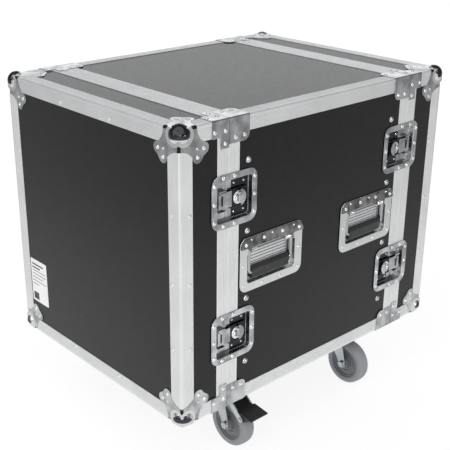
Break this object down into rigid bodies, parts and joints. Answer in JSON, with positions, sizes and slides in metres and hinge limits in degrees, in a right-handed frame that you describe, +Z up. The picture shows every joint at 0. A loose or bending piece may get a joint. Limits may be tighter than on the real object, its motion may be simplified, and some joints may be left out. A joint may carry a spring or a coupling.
{
  "type": "equipment rack case",
  "caption": "Wheeled plywood rack case with aluminium edges, lift-off end covers, recessed twist latches, sprung handles and swivel castors.",
  "frame": {"origin": "on the floor, under the middle of the case", "axes": "+Z up, -Y out of the front cover, +X towards the right-hand side as seen from the front"},
  "size_m": [0.594, 0.7378, 0.719],
  "materials": {
    "laminate": "matte black laminate on plywood",
    "aluminium": "satin, ribbed lengthways",
    "chrome": "bright nickel-chrome plating",
    "zinc": "bright zinc plating",
    "rail_paint": "black powder coat",
    "wheel_rubber": "matte grey tread",
    "pedal": "black moulding",
    "foam": "closed-cell foam"
  },
  "bodies": {
    "root": {"left_panel": "laminate", "right_panel": "laminate", "top_panel": "laminate", "bottom_panel": "laminate", "edge_extrusions": "aluminium", "rim_extrusions": "aluminium", "rim_braces": "chrome", "rack_rails": "rail_paint", "rail_bolts": "chrome", "handle_dishes": "chrome", "latch_dishes": "chrome", "castor_plates": "zinc"},
    "front_cover": {"front_cover_panels": "laminate", "front_cover_extrusions": "aluminium", "front_cover_corners": "chrome", "front_cover_keepers": "chrome", "front_cover_foam": "foam"},
    "rear_cover": {"rear_cover_panels": "laminate", "rear_cover_extrusions": "aluminium", "rear_cover_corners": "chrome", "rear_cover_keepers": "chrome", "rear_cover_foam": "foam"},
    "handle_front_left": {"handle_front_left": "chrome"},
    "handle_front_right": {"handle_front_right": "chrome"},
    "handle_rear_left": {"handle_rear_left": "chrome"},
    "handle_rear_right": {"handle_rear_right": "chrome"},
    "castor_fork_front_left": {"castor_fork_front_left": "zinc"},
    "castor_wheel_front_left": {"castor_wheel_front_left": "wheel_rubber"},
    "castor_fork_front_right": {"castor_fork_front_right": "zinc"},
    "castor_wheel_front_right": {"castor_wheel_front_right": "wheel_rubber"},
    "castor_fork_rear_left": {"castor_fork_rear_left": "zinc"},
    "castor_wheel_rear_left": {"castor_wheel_rear_left": "wheel_rubber"},
    "castor_fork_rear_right": {"castor_fork_rear_right": "zinc"},
    "castor_wheel_rear_right": {"castor_wheel_rear_right": "wheel_rubber"},
    "brake_pedal_left": {"brake_pedal_left": "pedal"},
    "brake_pedal_right": {"brake_pedal_right": "pedal"},
    "latch_hub_front_left_lower": {"latch_hub_front_left_lower": "chrome"},
    "latch_wing_front_left_lower": {"latch_wing_front_left_lower": "chrome"},
    "latch_hook_front_left_lower": {"latch_hook_front_left_lower": "chrome"},
    "latch_hub_front_left_upper": {"latch_hub_front_left_upper": "chrome"},
    "latch_wing_front_left_upper": {"latch_wing_front_left_upper": "chrome"},
    "latch_hook_front_left_upper": {"latch_hook_front_left_upper": "chrome"},
    "latch_hub_front_right_lower": {"latch_hub_front_right_lower": "chrome"},
    "latch_wing_front_right_lower": {"latch_wing_front_right_lower": "chrome"},
    "latch_hook_front_right_lower": {"latch_hook_front_right_lower": "chrome"},
    "latch_hub_front_right_upper": {"latch_hub_front_right_upper": "chrome"},
    "latch_wing_front_right_upper": {"latch_wing_front_right_upper": "chrome"},
    "latch_hook_front_right_upper": {"latch_hook_front_right_upper": "chrome"},
    "latch_hub_rear_left_lower": {"latch_hub_rear_left_lower": "chrome"},
    "latch_wing_rear_left_lower": {"latch_wing_rear_left_lower": "chrome"},
    "latch_hook_rear_left_lower": {"latch_hook_rear_left_lower": "chrome"},
    "latch_hub_rear_left_upper": {"latch_hub_rear_left_upper": "chrome"},
    "latch_wing_rear_left_upper": {"latch_wing_rear_left_upper": "chrome"},
    "latch_hook_rear_left_upper": {"latch_hook_rear_left_upper": "chrome"},
    "latch_hub_rear_right_lower": {"latch_hub_rear_right_lower": "chrome"},
    "latch_wing_rear_right_lower": {"latch_wing_rear_right_lower": "chrome"},
    "latch_hook_rear_right_lower": {"latch_hook_rear_right_lower": "chrome"},
    "latch_hub_rear_right_upper": {"latch_hub_rear_right_upper": "chrome"},
    "latch_wing_rear_right_upper": {"latch_wing_rear_right_upper": "chrome"},
    "latch_hook_rear_right_upper": {"latch_hook_rear_right_upper": "chrome"}
  },
  "joints": [
    {"name": "front_cover_lift_off", "type": "slide", "parent": "root", "child": "front_cover", "axis": [0, -1, 0], "range_m": [0, 0.3]},
    {"name": "rear_cover_lift_off", "type": "slide", "parent": "root", "child": "rear_cover", "axis": [0, 1, 0], "range_m": [0, 0.3]},
    {"name": "handle_front_left_swing", "type": "hinge", "parent": "root", "child": "handle_front_left", "pos_m": [-0.2674, -0.139, 0.4505], "axis": [0, 1, 0], "range_deg": [0, 95], "stiffness_Nm_per_rad": 0.05},
    {"name": "handle_front_right_swing", "type": "hinge", "parent": "root", "child": "handle_front_right", "pos_m": [0.2674, -0.139, 0.4505], "axis": [0, -1, 0], "range_deg": [0, 95], "stiffness_Nm_per_rad": 0.05},
    {"name": "handle_rear_left_swing", "type": "hinge", "parent": "root", "child": "handle_rear_left", "pos_m": [-0.2674, 0.139, 0.4505], "axis": [0, 1, 0], "range_deg": [0, 95], "stiffness_Nm_per_rad": 0.05},
    {"name": "handle_rear_right_swing", "type": "hinge", "parent": "root", "child": "handle_rear_right", "pos_m": [0.2674, 0.139, 0.4505], "axis": [0, -1, 0], "range_deg": [0, 95], "stiffness_Nm_per_rad": 0.05},
    {"name": "castor_swivel_front_left", "type": "hinge", "parent": "root", "child": "castor_fork_front_left", "pos_m": [-0.185, -0.185, 0.12], "axis": [0, 0, 1], "continuous": true},
    {"name": "castor_roll_front_left", "type": "hinge", "parent": "castor_fork_front_left", "child": "castor_wheel_front_left", "pos_m": [-0.221, -0.185, 0.05], "axis": [0, 1, 0], "continuous": true},
    {"name": "castor_swivel_front_right", "type": "hinge", "parent": "root", "child": "castor_fork_front_right", "pos_m": [0.185, -0.185, 0.12], "axis": [0, 0, 1], "continuous": true},
    {"name": "castor_roll_front_right", "type": "hinge", "parent": "castor_fork_front_right", "child": "castor_wheel_front_right", "pos_m": [0.221, -0.185, 0.05], "axis": [0, 1, 0], "continuous": true},
    {"name": "castor_swivel_rear_left", "type": "hinge", "parent": "root", "child": "castor_fork_rear_left", "pos_m": [-0.185, 0.176, 0.12], "axis": [0, 0, 1], "continuous": true},
    {"name": "castor_roll_rear_left", "type": "hinge", "parent": "castor_fork_rear_left", "child": "castor_wheel_rear_left", "pos_m": [-0.221, 0.176, 0.05], "axis": [0, 1, 0], "continuous": true},
    {"name": "castor_swivel_rear_right", "type": "hinge", "parent": "root", "child": "castor_fork_rear_right", "pos_m": [0.185, 0.176, 0.12], "axis": [0, 0, 1], "continuous": true},
    {"name": "castor_roll_rear_right", "type": "hinge", "parent": "castor_fork_rear_right", "child": "castor_wheel_rear_right", "pos_m": [0.221, 0.176, 0.05], "axis": [0, 1, 0], "continuous": true},
    {"name": "brake_pedal_left_press", "type": "hinge", "parent": "castor_fork_front_left", "child": "brake_pedal_left", "pos_m": [-0.263, -0.185, 0.084], "axis": [0, -1, 0], "range_deg": [0, 12]},
    {"name": "brake_pedal_right_press", "type": "hinge", "parent": "castor_fork_front_right", "child": "brake_pedal_right", "pos_m": [0.263, -0.185, 0.084], "axis": [0, 1, 0], "range_deg": [0, 12]},
    {"name": "latch_twist_front_left_lower", "type": "hinge", "parent": "root", "child": "latch_hub_front_left_lower", "pos_m": [-0.272, -0.2235, 0.29], "axis": [-1, 0, 0], "range_deg": [0, 180]},
    {"name": "latch_flip_front_left_lower", "type": "hinge", "parent": "latch_hub_front_left_lower", "child": "latch_wing_front_left_lower", "pos_m": [-0.2707, -0.2235, 0.29], "axis": [0, 0, 1], "range_deg": [0, 90]},
    {"name": "latch_draw_front_left_lower", "type": "slide", "parent": "root", "child": "latch_hook_front_left_lower", "axis": [0, -1, 0], "range_m": [0, 0.0061]},
    {"name": "latch_twist_front_left_upper", "type": "hinge", "parent": "root", "child": "latch_hub_front_left_upper", "pos_m": [-0.272, -0.2235, 0.563], "axis": [-1, 0, 0], "range_deg": [0, 180]},
    {"name": "latch_flip_front_left_upper", "type": "hinge", "parent": "latch_hub_front_left_upper", "child": "latch_wing_front_left_upper", "pos_m": [-0.2707, -0.2235, 0.563], "axis": [0, 0, 1], "range_deg": [0, 90]},
    {"name": "latch_draw_front_left_upper", "type": "slide", "parent": "root", "child": "latch_hook_front_left_upper", "axis": [0, -1, 0], "range_m": [0, 0.0061]},
    {"name": "latch_twist_front_right_lower", "type": "hinge", "parent": "root", "child": "latch_hub_front_right_lower", "pos_m": [0.272, -0.2235, 0.29], "axis": [1, 0, 0], "range_deg": [0, 180]},
    {"name": "latch_flip_front_right_lower", "type": "hinge", "parent": "latch_hub_front_right_lower", "child": "latch_wing_front_right_lower", "pos_m": [0.2707, -0.2235, 0.29], "axis": [0, 0, -1], "range_deg": [0, 90]},
    {"name": "latch_draw_front_right_lower", "type": "slide", "parent": "root", "child": "latch_hook_front_right_lower", "axis": [0, -1, 0], "range_m": [0, 0.0061]},
    {"name": "latch_twist_front_right_upper", "type": "hinge", "parent": "root", "child": "latch_hub_front_right_upper", "pos_m": [0.272, -0.2235, 0.563], "axis": [1, 0, 0], "range_deg": [0, 180]},
    {"name": "latch_flip_front_right_upper", "type": "hinge", "parent": "latch_hub_front_right_upper", "child": "latch_wing_front_right_upper", "pos_m": [0.2707, -0.2235, 0.563], "axis": [0, 0, -1], "range_deg": [0, 90]},
    {"name": "latch_draw_front_right_upper", "type": "slide", "parent": "root", "child": "latch_hook_front_right_upper", "axis": [0, -1, 0], "range_m": [0, 0.0061]},
    {"name": "latch_twist_rear_left_lower", "type": "hinge", "parent": "root", "child": "latch_hub_rear_left_lower", "pos_m": [-0.272, 0.2235, 0.29], "axis": [-1, 0, 0], "range_deg": [0, 180]},
    {"name": "latch_flip_rear_left_lower", "type": "hinge", "parent": "latch_hub_rear_left_lower", "child": "latch_wing_rear_left_lower", "pos_m": [-0.2707, 0.2235, 0.29], "axis": [0, 0, -1], "range_deg": [0, 90]},
    {"name": "latch_draw_rear_left_lower", "type": "slide", "parent": "root", "child": "latch_hook_rear_left_lower", "axis": [0, 1, 0], "range_m": [0, 0.0061]},
    {"name": "latch_twist_rear_left_upper", "type": "hinge", "parent": "root", "child": "latch_hub_rear_left_upper", "pos_m": [-0.272, 0.2235, 0.563], "axis": [-1, 0, 0], "range_deg": [0, 180]},
    {"name": "latch_flip_rear_left_upper", "type": "hinge", "parent": "latch_hub_rear_left_upper", "child": "latch_wing_rear_left_upper", "pos_m": [-0.2707, 0.2235, 0.563], "axis": [0, 0, -1], "range_deg": [0, 90]},
    {"name": "latch_draw_rear_left_upper", "type": "slide", "parent": "root", "child": "latch_hook_rear_left_upper", "axis": [0, 1, 0], "range_m": [0, 0.0061]},
    {"name": "latch_twist_rear_right_lower", "type": "hinge", "parent": "root", "child": "latch_hub_rear_right_lower", "pos_m": [0.272, 0.2235, 0.29], "axis": [1, 0, 0], "range_deg": [0, 180]},
    {"name": "latch_flip_rear_right_lower", "type": "hinge", "parent": "latch_hub_rear_right_lower", "child": "latch_wing_rear_right_lower", "pos_m": [0.2707, 0.2235, 0.29], "axis": [0, 0, 1], "range_deg": [0, 90]},
    {"name": "latch_draw_rear_right_lower", "type": "slide", "parent": "root", "child": "latch_hook_rear_right_lower", "axis": [0, 1, 0], "range_m": [0, 0.0061]},
    {"name": "latch_twist_rear_right_upper", "type": "hinge", "parent": "root", "child": "latch_hub_rear_right_upper", "pos_m": [0.272, 0.2235, 0.563], "axis": [1, 0, 0], "range_deg": [0, 180]},
    {"name": "latch_flip_rear_right_upper", "type": "hinge", "parent": "latch_hub_rear_right_upper", "child": "latch_wing_rear_right_upper", "pos_m": [0.2707, 0.2235, 0.563], "axis": [0, 0, 1], "range_deg": [0, 90]},
    {"name": "latch_draw_rear_right_upper", "type": "slide", "parent": "root", "child": "latch_hook_rear_right_upper", "axis": [0, 1, 0], "range_m": [0, 0.0061]}
  ],
  "couplings": [
    {"joint": "latch_draw_front_left_lower", "follows": "latch_twist_front_left_lower", "m_per_rad": 0.0019},
    {"joint": "latch_draw_front_left_upper", "follows": "latch_twist_front_left_upper", "m_per_rad": 0.0019},
    {"joint": "latch_draw_front_right_lower", "follows": "latch_twist_front_right_lower", "m_per_rad": 0.0019},
    {"joint": "latch_draw_front_right_upper", "follows": "latch_twist_front_right_upper", "m_per_rad": 0.0019},
    {"joint": "latch_draw_rear_left_lower", "follows": "latch_twist_rear_left_lower", "m_per_rad": 0.0019},
    {"joint": "latch_draw_rear_left_upper", "follows": "latch_twist_rear_left_upper", "m_per_rad": 0.0019},
    {"joint": "latch_draw_rear_right_lower", "follows": "latch_twist_rear_right_lower", "m_per_rad": 0.0019},
    {"joint": "latch_draw_rear_right_upper", "follows": "latch_twist_rear_right_upper", "m_per_rad": 0.0019}
  ]
}
